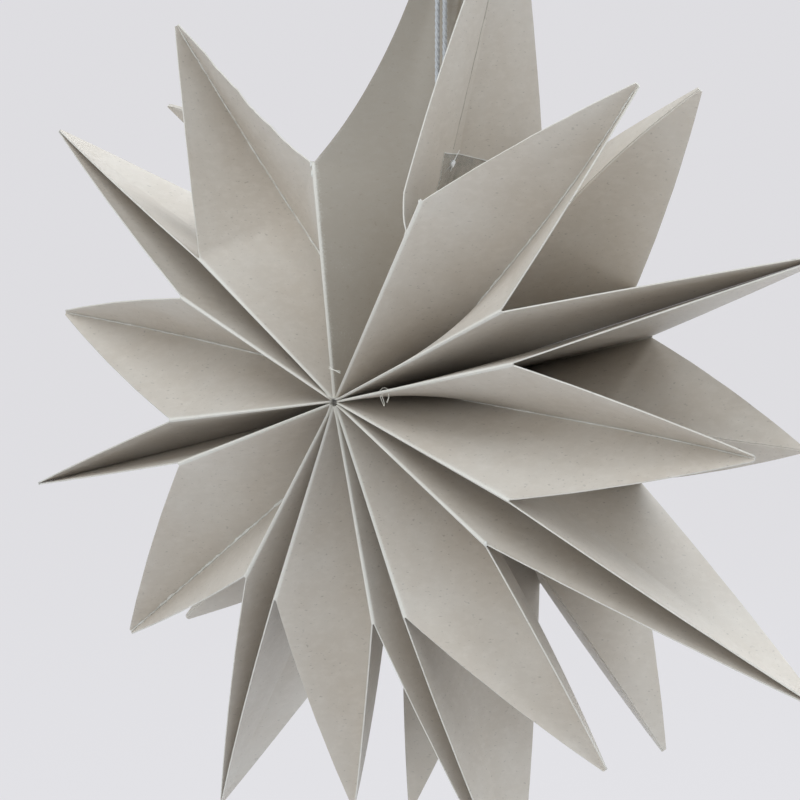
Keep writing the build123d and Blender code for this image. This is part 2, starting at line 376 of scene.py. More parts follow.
# %% Cord finish
CORD_DARK = (0.27, 0.27, 0.265, 1.0)
CORD_PALE = (0.56, 0.56, 0.55, 1.0)
cord_material, shader, place = new_material("cord")
lumps = noise(place, 350.0, 3.0, 0.6)
threads = noise(place, 2600.0, 2.0, 0.6)
link(mixed(lumps * 0.5 + threads * 0.5, CORD_DARK, CORD_PALE), shader, "Base Color")
link(bump(threads, 0.00012, 0.6), shader, "Normal")
shader.inputs["Roughness"].default_value = 0.72
shader.inputs["Specular IOR Level"].default_value = 0.3
shader.inputs["Sheen Weight"].default_value = 0.25
for piece, node in ((cord, "hanging_cord"), (loop_knot, "loop_knot"), (lower_knot, "cord_knot")):
    piece.data.materials.append(cord_material)
    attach(piece, "root")
    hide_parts(node)
print("the cord's finish is on three pieces")


# %% [markdown]
# ## The star's sizes
# These are the same sizes that the solids have. All angles are in degrees, from +X
# towards +Z, and every list runs clockwise from the bag at the upper right.

# %% Sizes
BAG_WIDTH = 70.0 * MM
SHOULDER = 64.0 * MM
GUSSET_POINT = 126.5 * MM
PANEL_POINT = 154.0 * MM
BOARD = 0.4 * MM
FOLD_NOSE = 0.8 * MM
CREASE_NOSE = 0.5 * MM
LAYER_PITCH = 0.26 * MM
CREASE_GAP = 0.7 * MM
POINT_WIDTH = 1.0 * MM
CORE_RADIUS = 1.15 * MM
PANEL_LIFT = 0.23 * MM
# the first and the last panel stand free, with the cord between them, and all others are glued
FIRST_PANEL = 76.0
LAST_PANEL = 82.0
GLUED_LINES = [18.5, -28.5, -75.0, -118.6, -164.4, -207.3]
LEFT_LINES = [FIRST_PANEL] + GLUED_LINES
RIGHT_LINES = GLUED_LINES + [LAST_PANEL - 360.0]
MIDDLES = [(left + right) / 2 for left, right in zip(LEFT_LINES, RIGHT_LINES)]
TIP_TRIMS = {18.5: -4.0, -28.5: 5.0, -164.4: 2.5, -207.3: 2.9}

# %% Sizes of the two faces
FRONT, BACK = -1, 1
LEANS = {
    FRONT: [(12.0, 8.6), (4.3, 7.8), (5.1, 7.1), (2.4, 7.1), (3.2, 5.4), (6.0, 2.5), (8.8, 22.5)],
    BACK: [(8.0, 9.5), (3.0, 4.5), (2.5, 5.8), (3.0, 5.0), (2.5, 4.5), (2.5, 3.0), (2.0, 22.0)],
}
SWINGS = {FRONT: [1.5, -0.5, -3.0, -2.5, 0.5, 0.5, -6.0], BACK: [-3.0, 0.5, -4.5, 5.5, 0.5, 0.5, 10.0]}
CURLS = {FRONT: [2.0, 2.0, -3.5, -2.0, 3.5, 2.5, 17.0], BACK: [3.0, -2.0, 12.0, -11.0, -5.0, 0.0, -12.0]}
BAG_COUNT = len(LEFT_LINES)
FIRST_BAG = 0
LAST_BAG = BAG_COUNT - 1
BASE_STEP = 360.0 / BAG_COUNT
BASE_START = np.mean([middle + BASE_STEP * number for number, middle in enumerate(MIDDLES)])
DEPTH = np.array([0.0, 1.0, 0.0])


def direction(angle):
    """The unit vector in the star's plane at an angle."""
    return np.array([math.cos(math.radians(angle)), 0.0, math.sin(math.radians(angle))])


def leftward(angle):
    """The unit vector square to that, towards growing angles."""
    return np.array([-math.sin(math.radians(angle)), 0.0, math.cos(math.radians(angle))])


print("the first of the", BAG_COUNT, "bags' bottom folds is at", round(BASE_START, 1), "degrees")


# %% [markdown]
# ## One bag's lines
# A bag is a ring of fourteen straight lines that run out from the axis: the two panels'
# centre lines, the side folds and the gussets' creases, each fold as two lines a nose
# apart. Between them the sheet is ruled, so knowing the lines is knowing the bag.

# %% Numbers of the lines
RING_LINES = 14
LEFT_PANEL = (13, 0, 1)
FRONT_GUSSET = (2, 3, 4, 5)
RIGHT_PANEL = (6, 7, 8)
BACK_GUSSET = (9, 10, 11, 12)
NOSES = ((1, 2), (5, 6), (8, 9), (12, 13))
CREASES = ((3, 4), (10, 11))


# %% Lines at the mouth
def shoulder(line, lean, side, face):
    """Where a side fold ends: the panel keeps half its width while it leans by an angle."""
    shift = SHOULDER * math.tan(math.radians(lean))
    depth = math.sqrt((BAG_WIDTH / 2) ** 2 - shift**2)
    return direction(line) * SHOULDER - leftward(line) * (side * shift) + DEPTH * (face * depth)


def crease_heading(left_corner, right_corner, middle, face):
    """Along the gusset's crease: half the bag's width from both side folds, on the inner side."""
    half_width = BAG_WIDTH / 2 - CREASE_GAP / 2
    span = left_corner - right_corner
    inward = unit(np.cross(unit(span), direction(middle)))
    if inward[1] * face > 0:
        inward = -inward
    rise = math.sqrt(half_width**2 - (np.linalg.norm(span) / 2) ** 2)
    valley = (left_corner + right_corner) / 2 + inward * rise
    side = valley @ leftward(middle)
    reach = math.sqrt(SHOULDER**2 - side**2 - valley[1] ** 2)
    return unit(direction(middle) * reach + leftward(middle) * side + DEPTH * valley[1])


def face_lines(number, face):
    """One face's six places at the mouth, its gusset's four ends and how far its point bends."""
    left, right, middle = LEFT_LINES[number], RIGHT_LINES[number], MIDDLES[number]
    left_lean, right_lean = LEANS[face][number]
    left_corner = shoulder(left, left_lean, 1, face) - leftward(left) * PANEL_LIFT
    right_corner = shoulder(right, right_lean, -1, face) + leftward(right) * PANEL_LIFT
    crease = crease_heading(left_corner, right_corner, middle, face)
    swung = unit(crease + leftward(middle) * math.tan(math.radians(SWINGS[face][number])))
    tip = swung * GUSSET_POINT + DEPTH * (face * CURLS[face][number] * MM)
    nose = leftward(middle) * (FOLD_NOSE / 2)
    crease_nose = leftward(middle) * (CREASE_NOSE / 2)
    beside = leftward(middle) * (POINT_WIDTH / 2)
    outer = DEPTH * (face * POINT_WIDTH / 2)
    valley = crease * SHOULDER
    places = [left_corner + nose, left_corner - nose, valley + crease_nose, valley - crease_nose]
    places += [right_corner + nose, right_corner - nose]
    tips = [tip + crease_nose + beside + outer, tip + crease_nose]
    tips += [tip - crease_nose, tip - crease_nose - beside + outer]
    return places, tips, tip - crease * GUSSET_POINT


# %% Lines at the core and at the points
def base_points(number):
    """The fourteen corners of the bag's flat stack of layers at the hollow core."""
    base = BASE_START - BASE_STEP * number
    rim, valley = BAG_WIDTH / 2, CREASE_GAP / 2
    # four layers, counted from the stack's middle, and the depth of each corner
    front = [(1.5, 0), (1.5, -rim), (0.5, -rim), (0.5, -valley)]
    front += [(-layer, depth) for layer, depth in front[:0:-1]]
    places = front + [(-1.5, 0)] + [(-layer, -depth) for layer, depth in front[1:7]]
    return np.array([
        direction(base) * CORE_RADIUS + leftward(base) * (layer * LAYER_PITCH) + DEPTH * depth
        for layer, depth in places
    ])


def panel_tips(line, side, front_to_back):
    """A panel's end as three points. Some panels were cut a few millimetres off size."""
    reach = PANEL_POINT + TIP_TRIMS.get(line, 0.0) * MM
    tip = direction(line) * reach - leftward(line) * (side * PANEL_LIFT)
    return tip + np.outer(np.array([-1, 0, 1]) * front_to_back, DEPTH) * (POINT_WIDTH / 2)


def bag_lines(number):
    """The lines' starts, their places at the mouth, and the four groups of points beyond it."""
    left, right = LEFT_LINES[number], RIGHT_LINES[number]
    front_places, front_tips, front_bend = face_lines(number, FRONT)
    back_places, back_tips, back_bend = face_lines(number, BACK)
    left_centre = direction(left) * SHOULDER - leftward(left) * PANEL_LIFT
    right_centre = direction(right) * SHOULDER + leftward(right) * PANEL_LIFT
    mouth = np.array([left_centre] + front_places + [right_centre] + back_places[::-1])
    groups = [
        (LEFT_PANEL, panel_tips(left, 1, -1), DEPTH * 0),
        (FRONT_GUSSET, np.array(front_tips), front_bend),
        (RIGHT_PANEL, panel_tips(right, -1, 1), DEPTH * 0),
        (BACK_GUSSET, np.array(back_tips[::-1]), back_bend),
    ]
    return base_points(number), mouth, groups


print("a bag has", len(base_points(FIRST_BAG)), "lines")


# %% [markdown]
# ## The folded sheet
# The sleeve is one grid: rows go out along the lines and columns go round the ring, closer
# together beside a fold. Each of the four points is a grid of its own that starts from the
# sleeve's last row. A fold's middle column stands proud, so that it has a round nose, and
# every point carries a value for its wear. The board's thickness comes last.

# %% Columns round the ring
SLEEVE_ROWS = 30
POINT_ROWS = 40
# the columns of a wide strip and of a fold's narrow one, as shares of the strip's width
WIDE = np.array([0, 0.014, 0.05, 0.14, 0.26, 0.38, 0.5, 0.62, 0.74, 0.86, 0.95, 0.986])
SLIM = np.array([0.0, 0.5])


def places_on(lines, closed=False):
    """Where the columns on a run of lines stand: the number of lines passed, plus the share."""
    strips = list(zip(lines, lines[1:]))
    places = [step + (SLIM if strip in NOSES + CREASES else WIDE) for step, strip in enumerate(strips)]
    return np.concatenate(places if closed else places + [[len(strips)]])


ring_places = places_on(list(range(RING_LINES)) + [0], closed=True)
BEFORE = ring_places.astype(int)
AFTER = (BEFORE + 1) % RING_LINES
SHARE = ring_places - BEFORE
COLUMNS = len(SHARE)
FIRST_COLUMN = {line: int(np.argmax(BEFORE == line)) for line in range(RING_LINES)}
IN_GUSSET = np.isin(BEFORE, FRONT_GUSSET[:-1] + BACK_GUSSET[:-1])
IN_RIGHT_PANEL = np.isin(BEFORE, RIGHT_PANEL[:-1])
NARROW = np.array([pair in NOSES + CREASES for pair in zip(BEFORE.tolist(), AFTER.tolist())])
FACE = np.where(BEFORE < RIGHT_PANEL[1], float(FRONT), float(BACK))
print("a sleeve has", COLUMNS, "columns and", SLEEVE_ROWS, "rows")


# %% [markdown]
# ## Wear and unevenness
# Handled board is never flat. Its folds rub pale, and its panels wave a little. Wear is a
# value at each point that the finish reads, and the waves move the points themselves, so
# that they also show where the light grazes a panel.

# %% Wear and waves
NOSE_WEAR = 0.82
CREASE_WEAR = 0.42
CUT_WEAR = 0.15
TORN_WEAR = 0.6
# wear fades out over this share of a strip
WEAR_REACH = 0.02
# faint marks along two centre lines, by bag and line
PANEL_MARKS = {(1, 7): 0.3, (2, 7): 0.26}
WAVE = 0.42 * MM
POINT_WAVE = WAVE * 1.5
WAVE_LENGTH = 35.0 * MM


def wear_of(number):
    """A column's wear: that of the nearer line, times 1 - distance / reach, and all of it on a fold."""
    line_wear = np.zeros(RING_LINES)
    line_wear[np.ravel(CREASES)] = CREASE_WEAR
    line_wear[np.ravel(NOSES)] = NOSE_WEAR
    for (bag, line), mark in PANEL_MARKS.items():
        if bag == number:
            line_wear[line] = mark
    from_before = np.where(NARROW, 1.0, np.maximum(0.0, 1 - SHARE / WEAR_REACH))
    from_after = np.where(NARROW, 1.0, np.maximum(0.0, 1 - (1 - SHARE) / WEAR_REACH))
    return np.maximum(line_wear[BEFORE] * from_before, line_wear[AFTER] * from_after)


def waves(points, number, amount):
    """A slow unevenness of the board: three crossing sine waves of the place, a bag at a time."""
    x, y, z = (points[..., axis] / WAVE_LENGTH for axis in range(3))
    total = np.sin(1.9 * x + 1.3 * y + number) + np.sin(2.3 * z - 1.7 * y + 2.1 * number)
    total += np.sin(3.1 * (x - z) + 2.2 * y + 0.7 * number)
    return amount / 3 * total


# %% Sleeve
NOSE_ROUND = 0.26 * MM
CREASE_ROUND = 0.2 * MM
# rows are a little closer together near the mouth
OUT = (np.linspace(0, 1, SLEEVE_ROWS) ** 0.9)[:, None]


def sleeve_surface(number):
    """The bag below its mouth: near * (1 - out) + far * out in every column, waved and with noses."""
    starts, mouth, _ = bag_lines(number)
    near = starts[BEFORE] * (1 - SHARE[:, None]) + starts[AFTER] * SHARE[:, None]
    far = mouth[BEFORE] * (1 - SHARE[:, None]) + mouth[AFTER] * SHARE[:, None]
    surface = near * (1 - OUT[..., None]) + far * OUT[..., None]
    # the waves fade out at every line and at the bottom fold
    fade = np.where(NARROW, 0.0, np.sin(np.pi * SHARE) ** 0.8)[None, :] * np.minimum(1, OUT * 1.5)
    push = np.where(IN_GUSSET[:, None], DEPTH, leftward(MIDDLES[number]))
    surface = surface + push[None] * (waves(surface, number, WAVE) * fade)[..., None]
    # a fold's middle column stands proud of its two lines
    nose = np.where(IN_GUSSET, CREASE_ROUND, NOSE_ROUND)
    proud = np.where(NARROW & (SHARE > 0), nose, 0.0) * FACE
    return surface + DEPTH * proud[None, :, None]


# %% [markdown]
# ## Points of the mouth
# Beyond the mouth the four sides run on as long points. A gusset's point bends towards its
# curled tip, and scissor cuts are never straight, so each cut edge bows in or out and has
# small kinks. On the last bag one edge is rough, and half a panel swings back by the cord.

# %% Edges of the points
# how far a cut edge bows outwards at its middle, by bag and line, where it isn't the usual
EDGE_BOW = 1.2 * MM
EDGE_BOWS = {(0, 1): 3.3 * MM, (6, 6): -4.9 * MM, (6, 5): -2.2 * MM, (6, 9): -11.0 * MM, (6, 2): 0.3 * MM}
# and how large its kinks are
EDGE_KINK = 0.035 * MM
EDGE_KINKS = {(6, 5): 0.30 * MM}
SWUNG_BACK = 9.0 * MM


def edge_sway(number, lines, inner, along):
    """How far the columns sway outwards: (1 - inner) * (bow + kinks), both 0 at the two ends."""
    edge = np.where(np.arange(len(inner)) < len(inner) / 2, lines[0], lines[-1]).tolist()
    bow = np.array([EDGE_BOWS.get((number, line), EDGE_BOW) for line in edge])[None, :, None]
    kink = np.array([EDGE_KINKS.get((number, line), EDGE_KINK) for line in edge])[None, :, None]
    arch = 4 * (along - along**2)
    # a hollow edge is hollow nearer to the shoulder, so that its point stays whole
    bowed = bow * np.where(bow < 0, arch * (1 - along) * 1.6, arch)
    ripple = np.sin(along * 23 + 1.4) + 0.5 * np.sin(along * 51 + number)
    ripple = ripple + 0.3 * np.sin(along * 97 + 2 * number)
    return (1 - inner)[None, :, None] * (bowed + ripple * kink * arch)


# %% Surface of a point
def point_surface(number, lines, root, tips, bend):
    """One point: root * (1 - along) + end * along in every column, then bent, bowed and waved."""
    places = places_on(lines)
    inner = np.clip(np.minimum(places, places[-1] - places), 0, 1)
    ends = np.stack([np.interp(places, range(len(lines)), tips[:, axis]) for axis in range(3)], axis=1)
    is_gusset = len(lines) == len(FRONT_GUSSET)
    along = np.linspace(0, 1, POINT_ROWS)[1:, None, None]
    arch = 4 * (along - along**2)
    surface = root * (1 - along) + ends * along
    # the crease's middle column stays proud, and the crease bends smoothly towards its tip
    bead = is_gusset * (places == places[-1] / 2) * CREASE_ROUND
    face = FRONT if lines == FRONT_GUSSET else BACK
    surface = surface + DEPTH * (face * bead)[None, :, None] * along
    surface = surface + bend * (along**2 - along) * inner[None, :, None]
    surface = surface + unit(root - root.mean(axis=0)) * edge_sway(number, lines, inner, along)
    if (number, lines) == (LAST_BAG, RIGHT_PANEL):
        behind = np.clip(np.linspace(-1, 1, len(inner)), 0, 1) ** 0.8
        surface = surface - leftward(LAST_PANEL) * (behind[None, :, None] * arch * SWUNG_BACK)
    push = DEPTH if is_gusset else leftward(MIDDLES[number])
    lift = waves(surface, number + 3, POINT_WAVE) * np.sin(np.pi * inner)[None, :] * (1 - along[..., 0])
    return surface + push * lift[..., None], inner


# %% [markdown]
# ## The torn fold
# The first bag's left panel has come away from its front fold near the mouth. The sleeve's
# rows there get a second copy of the fold's line, so the sheet has a real slit, and the
# panel's side of it lifts off further and further towards the mouth.

# %% Torn fold
PEEL = 6.1 * MM
PEEL_FROM = 0.84
PEEL_OPENING = np.clip((OUT - PEEL_FROM) / (1 - PEEL_FROM), 0, 1) ** 0.7
TORN_ROWS = np.flatnonzero(PEEL_OPENING[:, 0] > 0)
print("the slit is", len(TORN_ROWS), "rows long")


# %% Sheet of one bag
class Sheet:
    """A mesh that grows by grids of points. Each point has its wear and its painted shade."""

    def __init__(self):
        self.points, self.faces, self.wear, self.painted_shade = [], [], [], []
        self.size = 0

    def add(self, points, wear, painted_shade):
        """Add a grid of points, and give their numbers in the same grid."""
        numbers = np.arange(points[..., 0].size).reshape(points.shape[:-1]) + self.size
        self.size += numbers.size
        self.points.append(points.reshape(-1, 3))
        self.wear.append(np.broadcast_to(wear, numbers.shape).ravel())
        self.painted_shade.append(np.broadcast_to(painted_shade, numbers.shape).ravel())
        return numbers


def sheet_bag(number):
    """One bag's middle surface: the sleeve's grid, and the four points' grids beyond its last row."""
    sheet = Sheet()
    sleeve = sleeve_surface(number)
    if number == FIRST_BAG:
        peel = PEEL_OPENING * np.where(BEFORE == 0, SHARE, 0.0)[None, :] ** 2
        sleeve = sleeve + leftward(FIRST_PANEL) * (peel * PEEL)[..., None]
    # the last bag's right panel gets painted shade, for the shade that the panels beside it cast
    numbers = sheet.add(sleeve, wear_of(number), IN_RIGHT_PANEL * float(number == LAST_BAG))
    quads = grid_faces(closed_round(numbers)).reshape(SLEEVE_ROWS - 1, COLUMNS, 4)
    mouth_row = numbers[-1].copy()
    if number == FIRST_BAG:
        fold = FIRST_COLUMN[1]
        lifted = sleeve[TORN_ROWS, fold] + leftward(FIRST_PANEL) * (PEEL_OPENING[TORN_ROWS] * PEEL)
        copies = sheet.add(lifted, TORN_WEAR, 0.0)
        quads[TORN_ROWS - 1, fold - 1, 2] = copies
        quads[TORN_ROWS[:-1], fold - 1, 3] = copies[:-1]
        mouth_row[fold] = copies[-1]
    sheet.faces.append(quads.reshape(-1, 4))
    for lines, tips, bend in bag_lines(number)[2]:
        ids = mouth_row[(FIRST_COLUMN[lines[0]] + np.arange(len(places_on(lines)))) % COLUMNS]
        root = np.vstack(sheet.points)[ids]
        surface, inner = point_surface(number, lines, root, tips, bend)
        # a thin line of wear at the cut edges, and the crease's bead as in the sleeve
        worn = np.where(inner < WEAR_REACH, CUT_WEAR, np.concatenate(sheet.wear)[ids])
        # the last bag's right panel's point gets the same painted shade
        rows = sheet.add(surface, worn, float((number, lines) == (LAST_BAG, RIGHT_PANEL)))
        sheet.faces.append(grid_faces(np.vstack([ids[None], rows])))
    return sheet


bags = []
for number in range(BAG_COUNT):
    sheet = sheet_bag(number)
    bag = new_object(f"folded_bag_{number + 1}", np.vstack(sheet.points) + AXIS, np.vstack(sheet.faces))
    for name, values in (("wear", sheet.wear), ("painted_shade", sheet.painted_shade)):
        bag.data.attributes.new(name, "FLOAT", "POINT").data.foreach_set("value", np.concatenate(values))
    bags.append(bag)
print("a bag has", len(bags[0].data.polygons), "faces before it gets its thickness")


# %% [markdown]
# ## The board
# The board is a warm grey with faint clouds, lying fibres and specks. Cut edges and the
# rubbed noses of the folds are cream, and wear breaks up along them. One panel beside the
# cord has painted shade: its colour is darkened for the shade that the other panels cast
# on it. Roughness and a very fine bump carry the tooth of the paper. Its shape is in the
# mesh, and Solidify gives the sheet its thickness.

# %% Board thickness
SHARP_ANGLE = math.radians(68)


def thickened(piece, thickness):
    """Give a sheet its thickness and its cut edges' material, and keep the result as the mesh."""
    solid = piece.modifiers.new("thickness", "SOLIDIFY")
    solid.thickness = thickness
    solid.offset = 0.0
    solid.use_even_offset = True
    solid.use_rim = True
    solid.material_offset_rim = 1
    finished = bpy.data.meshes.new_from_object(piece.evaluated_get(bpy.context.evaluated_depsgraph_get()))
    piece.modifiers.clear()
    old = piece.data
    piece.data = finished
    bpy.data.meshes.remove(old)
    finished.set_sharp_from_angle(angle=SHARP_ANGLE)


# %% Paper materials
PAPER = (0.534, 0.480, 0.409, 1.0)
PAPER_DARK = (0.494, 0.432, 0.356, 1.0)
PAPER_PALE = (0.594, 0.536, 0.460, 1.0)
WORN = (0.615, 0.575, 0.500, 1.0)
# painted shade: the dark tone, and how much of it the panel in the others' shade gets
PAINTED_SHADE_TONE = (0.250, 0.215, 0.165, 1.0)
PAINTED_SHADE_SHARE = 0.66
FLECK = (0.12, 0.10, 0.08, 1.0)
CREAM = (0.580, 0.540, 0.465, 1.0)
CREAM_DARK = (0.53, 0.49, 0.42, 1.0)
CREAM_PALE = (0.66, 0.62, 0.55, 1.0)


def paper(name, base, dark, pale, worn):
    """Board: clouds of two tones, lying fibres, specks, painted shade, wear on the folds and a tooth in
    the bump.
    """
    material, shader, place = new_material(name)
    clouds = noise(place, 38.0, 5.0, 0.62)
    fibres = noise(place, 420.0, 4.0, 0.62, stretch=(0.7, 0.7, 1.3))
    grain = noise(place, 1900.0, 2.0, 0.6)
    tone = mixed(((clouds - 0.36) * 3.2).clamped(), dark, base)
    tone = mixed(((fibres - 0.46) * 1.5).clamped(), tone, pale)
    pits = ((0.36 - noise(place, 520.0, 1.0, 0.4)) * 9.0).clamped()
    tone = mixed(pits * 0.35, tone, dark)
    flecks = ((noise(place, 800.0, 1.0, 0.4, stretch=(1.0, 1.0, 2.4)) - 0.69) * 14.0).clamped()
    tone = mixed(flecks * 0.3, tone, FLECK)
    # painted shade: the colour is darkened where the mesh's value says the panel lies in the others' shade
    tone = mixed(attribute(place, "painted_shade") * PAINTED_SHADE_SHARE, tone, PAINTED_SHADE_TONE)
    # wear only shows where the noise lets it through, so that it breaks up
    worn_here = (attribute(place, "wear") * 1.35 + (grain + clouds - 1.0) * 0.9 - 0.16).clamped()
    link(mixed(worn_here, tone, worn), shader, "Base Color")
    link(clouds * 0.14 + 0.56, shader, "Roughness")
    link(bump(grain * 0.5 + fibres * 0.5, 0.00010, 0.30), shader, "Normal")
    shader.inputs["Specular IOR Level"].default_value = 0.38
    return material


board = paper("board", PAPER, PAPER_DARK, PAPER_PALE, WORN)
board_edge = paper("board_edge", CREAM, CREAM_DARK, CREAM_PALE, CREAM)
for number, bag in enumerate(bags):
    bag.data.materials.append(board)
    bag.data.materials.append(board_edge)
    thickened(bag, BOARD)
    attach(bag, "root")
    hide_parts(f"bag_{number + 1}")
print("a bag has", len(bags[0].data.polygons), "faces")


# %% [markdown]
# ## Torn fibres on the creases
# A gusset's crease was folded the other way first, so its surface has burst into a ragged
# pale bead. A thin tube runs along the crease's middle column, and its radius comes and
# goes, most of all on the lower left bag.

# %% Crease beads
# how strong each bag's bead is
BEADS = {0: 0.42, 1: 0.22, 4: 0.72, 5: 0.30, 6: 0.36}
BEAD_LEAST = 0.12
BEAD_SPREAD = 0.62
BEAD_SWAY = 0.12 * MM
TAPER_STEPS = 8
FIBRE = (0.62, 0.595, 0.53, 1.0)
FIBRE_DARK = (0.50, 0.475, 0.41, 1.0)
FIBRE_PALE = (0.74, 0.715, 0.65, 1.0)


def crease_line(number):
    """The front crease's middle: from a quarter of the way up the sleeve to the gusset's point."""
    starts, mouth, groups = bag_lines(number)
    _, tips, bend = groups[1]
    crease = list(CREASES[0])
    base, root, tip = starts[crease].mean(axis=0), mouth[crease].mean(axis=0), tips[1:3].mean(axis=0)
    inside = np.linspace(0.25, 1, 60)[:, None]
    along = np.linspace(0, 1, 110)[1:, None]
    beyond = root * (1 - along) + tip * along + bend * (along**2 - along)
    return np.vstack([base * (1 - inside) + root * inside, beyond])


def ragged(length, number):
    """A value between 0 and 1 that comes and goes: sines of unlike lengths, cut off at nothing."""
    step = np.arange(length)
    value = 0.45 + 0.3 * np.sin(step * 0.21 + number) + 0.25 * np.sin(step * 0.83 + 2 * number)
    value += 0.25 * np.sin(step * 2.1 + 0.5 * number)
    return np.clip(value, 0.0, 1.0)


bead_parts = []
for number, size in BEADS.items():
    line = crease_line(number) - DEPTH * (BOARD / 2 + CREASE_ROUND)
    step = np.arange(len(line))
    taper = np.minimum(1, np.minimum(step, step[::-1]) / TAPER_STEPS)
    radius = (BEAD_LEAST + size * ragged(len(line), number) * BEAD_SPREAD) * MM * (0.2 + 0.8 * taper)
    sway = np.sin(step * 0.7 + number) * size * BEAD_SWAY
    line = line + leftward(MIDDLES[number]) * sway[:, None]
    bead_parts.append(tube(line + AXIS, radius, sides=6))
beads = new_object("torn_crease_fibres", *joined(bead_parts))
fibre_material = paper("torn_fibres", FIBRE, FIBRE_DARK, FIBRE_PALE, WORN)
beads.data.materials.append(fibre_material)
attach(beads, "root")
print("the beads have", len(beads.data.polygons), "faces")


# %% [markdown]
# ## Tape
# Inside the first bag's left panel a patch of clear tape covers the cord's stop knot. The
# tape is a thin sheet that is laid on the finished panel: rays that are cast from inside
# the bag find the board, so the tape follows it, rises over the knot and has one ragged
# end. Most of it is see-through. Its cut edges carry thin pale rims, a painted highlight
# for the light that the clear tape's edges catch.

# %% Feeling for the panel
FEELER = 12.0 * MM
PANEL_UP = direction(FIRST_PANEL)
INTO_BAG = -leftward(FIRST_PANEL)
first_bag = bags[FIRST_BAG].data
board_tree = BVHTree.FromPolygons(
    [corner.co[:] for corner in first_bag.vertices], [tuple(side.vertices) for side in first_bag.polygons])


def on_panel(height, across, lift):
    """Points over the inner side of the first bag's left panel, found by feeling for it from inside."""
    feelers = AXIS + PANEL_UP * height[..., None] + DEPTH * across[..., None] + INTO_BAG * FEELER
    outwards = (-INTO_BAG).tolist()
    felt = [board_tree.ray_cast(feeler, outwards)[0][:] for feeler in feelers.reshape(-1, 3).tolist()]
    return np.array(felt).reshape(feelers.shape) + INTO_BAG * lift[..., None]


# %% Tape
STOP_HEIGHT, STOP_ACROSS = 70.4 * MM, -7.0 * MM
# in millimetres: the tape's two ends and its top, and how much its top falls towards the back
TAPE_FRONT, TAPE_BACK, TAPE_TOP, TAPE_WIDTH, TAPE_SLOPE = -13.4, 14.0, 74.2, 13.0, -0.16
TAPE_COLUMNS, TAPE_ROWS = 60, 34
TAPE_THICKNESS = 0.09 * MM
TAPE_GAP = 0.10 * MM
KNOT_RISE, KNOT_SPREAD = 0.75 * MM, 2.1 * MM
WRINKLE, WRINKLE_SPREAD = 0.10 * MM, 5.0 * MM
TOP_RIM, END_RIM = 0.15 * MM, 0.07 * MM

across, down = np.meshgrid(
    np.linspace(TAPE_FRONT, TAPE_BACK, TAPE_COLUMNS), np.linspace(-TAPE_WIDTH, 0, TAPE_ROWS))
height = TAPE_TOP + down + (across - TAPE_FRONT) * TAPE_SLOPE
ragged_end = 0.25 * np.sin(height * 4.1) * (across < TAPE_FRONT + 0.1)
across, height = (across + ragged_end) * MM, height * MM
distance = np.hypot(across - STOP_ACROSS, height - STOP_HEIGHT)
wrinkle = WRINKLE * np.sin(across / MM * 1.7 + height / MM * 0.9) * np.exp(-distance / WRINKLE_SPREAD)
lift = TAPE_GAP + KNOT_RISE * np.exp(-((distance / KNOT_SPREAD) ** 2)) + np.abs(wrinkle)
tape_points = on_panel(height, across, lift)
numbers = np.arange(across.size).reshape(across.shape)
tape = new_object("clear_tape", tape_points.reshape(-1, 3), grid_faces(numbers))
# thin pale tubes on the tape's top edge and both ends are a painted highlight on its cut edges
rims = [(tape_points[-1], TOP_RIM), (tape_points[:, 0], END_RIM), (tape_points[:, -1], END_RIM)]
tape_rim_highlight = new_object("tape_rim_highlight", *joined([tube(row, radius, 6) for row, radius in rims]))
print("the tape has", tape_points[..., 0].size, "points")

# %% Tape finish
# the two pale tones of the rims are a painted highlight, the light that the tape's cut edges catch
TAPE_TINT = (0.46, 0.43, 0.37, 1.0)
RIM_HIGHLIGHT_DIM = (0.60, 0.58, 0.53, 1.0)
RIM_HIGHLIGHT_BRIGHT = (0.80, 0.78, 0.74, 1.0)
tape_material, shader, place = new_material("clear_tape")
smears = noise(place, 260.0, 3.0, 0.55)
shader.inputs["Base Color"].default_value = TAPE_TINT
link(smears * 0.22 + 0.10, shader, "Roughness")
link(smears * 0.60 + 0.02, shader, "Alpha")
link(bump(smears, 0.0004, 0.35), shader, "Normal")
shader.inputs["Coat Weight"].default_value = 0.6
shader.inputs["Coat Roughness"].default_value = 0.08
# the tape's own thin cut edges get the same painted highlight
edge_highlight_material = two_tone("tape_edge_highlight", (900.0,), RIM_HIGHLIGHT_DIM, RIM_HIGHLIGHT_BRIGHT, 0.4)
tape.data.materials.append(tape_material)
tape.data.materials.append(edge_highlight_material)
tape_rim_highlight.data.materials.append(edge_highlight_material)
thickened(tape, TAPE_THICKNESS)
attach(tape, "root")
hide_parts("tape_patch")
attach(tape_rim_highlight, "root")
print("the tape has", len(tape.data.polygons), "faces with its thickness")


# %% [markdown]
# ## Stop knot
# The cord's end comes through a hole in the panel, is knotted on the inner side and frays
# there. The knot is a small closed turn, and its hairs are thin tubes that taper. A short
# plied tail joins it to the lower knot on the panel's other side.

# %% Stop knot
HAIR_COUNT = 9
HAIR_LENGTH, HAIR_VARIES = 1.5, 0.9
